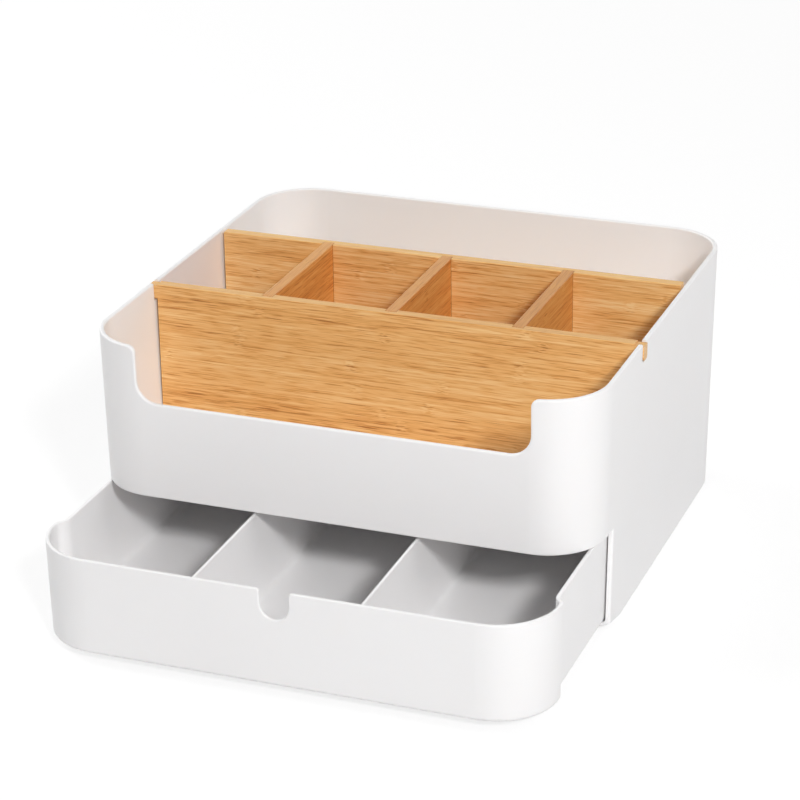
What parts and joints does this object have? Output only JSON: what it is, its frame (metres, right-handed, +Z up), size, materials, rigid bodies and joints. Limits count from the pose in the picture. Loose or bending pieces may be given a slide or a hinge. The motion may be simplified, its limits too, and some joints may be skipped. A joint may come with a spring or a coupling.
{
  "type": "desk organizer with drawer",
  "caption": "White plastic desk organizer: an open tray with a lift-out bamboo divider grid, over a full-width drawer with long cells and a U-shaped finger cut.",
  "frame": {"origin": "on the desk, under the middle of the whole object with its drawer standing part open", "axes": "+Z up, +Y from the drawer's front towards the back, +X to the right seen from the front"},
  "size_m": [0.2622, 0.3212, 0.137],
  "materials": {
    "white_plastic": "satin moulded white plastic with a very fine even texture",
    "bamboo": "sanded bamboo with a thin satin lacquer, fine streaks along the board and darker nodes",
    "foot_rubber": "soft grey non-slip rubber"
  },
  "bodies": {
    "shell": {"shell": "white_plastic", "foot_front_left": "foot_rubber", "foot_front_right": "foot_rubber", "foot_rear_left": "foot_rubber", "foot_rear_right": "foot_rubber"},
    "drawer": {"drawer": "white_plastic"},
    "bamboo_grid": {"bamboo_front_board": "bamboo", "bamboo_rear_board": "bamboo", "bamboo_divider_left": "bamboo", "bamboo_divider_middle": "bamboo", "bamboo_divider_right": "bamboo"}
  },
  "joints": [
    {"name": "drawer_slide", "type": "slide", "parent": "shell", "child": "drawer", "axis": [0, -1, 0], "range_m": [-0.0725, 0.0875]},
    {"name": "bamboo_lift", "type": "slide", "parent": "shell", "child": "bamboo_grid", "axis": [0, 0, 1], "range_m": [0, 0.09]}
  ]
}
